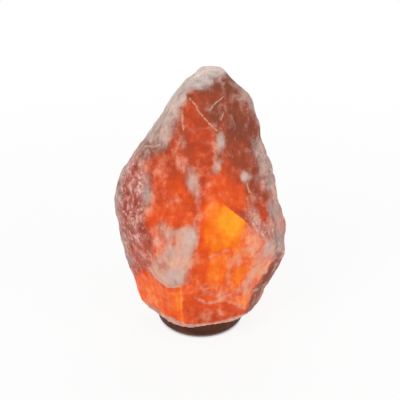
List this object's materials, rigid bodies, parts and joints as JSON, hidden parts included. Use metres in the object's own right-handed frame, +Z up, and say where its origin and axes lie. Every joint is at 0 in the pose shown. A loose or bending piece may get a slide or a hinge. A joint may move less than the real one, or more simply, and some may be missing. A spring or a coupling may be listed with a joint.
{
  "type": "salt crystal lamp",
  "caption": "Table lamp made of a rough lump of rock salt on a round wooden base, lit from inside by a small screw bulb whose sprung holder pulls out through the base.",
  "frame": {"origin": "on the table under the middle of the wooden base, which is also the middle of the lamp's box", "axes": "+Z up; -Y is the lamp's front, as pictured; +X is the right side seen from the front; the cord slot opens to +Y"},
  "size_m": [0.1953, 0.1545, 0.296],
  "materials": {
    "rock_salt": "rough translucent pink and orange rock salt, frosted white on worn edges, density 2.16 g/cm3",
    "dark_wood": "dark brown turned hardwood, oiled",
    "black_rubber": "matt black",
    "zinc_steel": "zinc plated",
    "spring_steel": "bright spring steel",
    "grey_plastic": "grey nylon",
    "black_plastic": "black thermoset",
    "white_ceramic": "white steatite",
    "brass": "bright",
    "solder": "tin solder",
    "black_glass": "black vitrite",
    "nickel_cap": "nickel plated",
    "cement": "basing cement",
    "clear_glass": "clear",
    "wire": "bare wire",
    "tungsten": "tungsten"
  },
  "bodies": {
    "lamp": {"salt_crystal": "rock_salt", "wooden_base": "dark_wood", "rubber_feet": "black_rubber", "base_screws": "zinc_steel", "wall_plugs": "grey_plastic"},
    "fitting": {"clip_bar": "spring_steel", "cord_nipple": "zinc_steel", "nipple_nut": "zinc_steel", "holder_dome": "black_plastic", "holder_sleeve": "black_plastic", "socket_core": "white_ceramic", "socket_shell": "brass", "centre_contact": "brass", "side_contact": "brass", "terminal_screws": "brass"},
    "wing_right": {"clip_wing_right": "spring_steel"},
    "wing_left": {"clip_wing_left": "spring_steel"},
    "bulb_contact": {"cap_contact": "solder", "cap_insulator": "black_glass"},
    "bulb": {"bulb_cap": "nickel_cap", "cap_cement": "cement", "bulb_envelope": "clear_glass", "glass_stem": "clear_glass", "lead_wires": "wire", "filament": "tungsten", "filament_support": "wire"}
  },
  "joints": [
    {"name": "fitting_pull", "type": "slide", "parent": "lamp", "child": "fitting", "axis": [0, 0, -1], "range_m": [0, 0.13]},
    {"name": "wing_flex_right", "type": "hinge", "parent": "fitting", "child": "wing_right", "pos_m": [0.0168, 0, 0.0064], "axis": [0, -1, 0], "range_deg": [0, 6], "stiffness_Nm_per_rad": 0.2},
    {"name": "wing_flex_left", "type": "hinge", "parent": "fitting", "child": "wing_left", "pos_m": [-0.0168, 0, 0.0064], "axis": [0, 1, 0], "range_deg": [0, 6], "stiffness_Nm_per_rad": 0.2},
    {"name": "bulb_rise", "type": "slide", "parent": "fitting", "child": "bulb_contact", "axis": [0, 0, 1], "range_m": [0, 0.0099]},
    {"name": "bulb_turn", "type": "hinge", "parent": "bulb_contact", "child": "bulb", "pos_m": [0, 0, 0.05], "axis": [0, 0, 1], "range_deg": [0, 1260]}
  ],
  "couplings": [
    {"joint": "bulb_rise", "follows": "bulb_turn", "m_per_rad": 0.00044913}
  ]
}
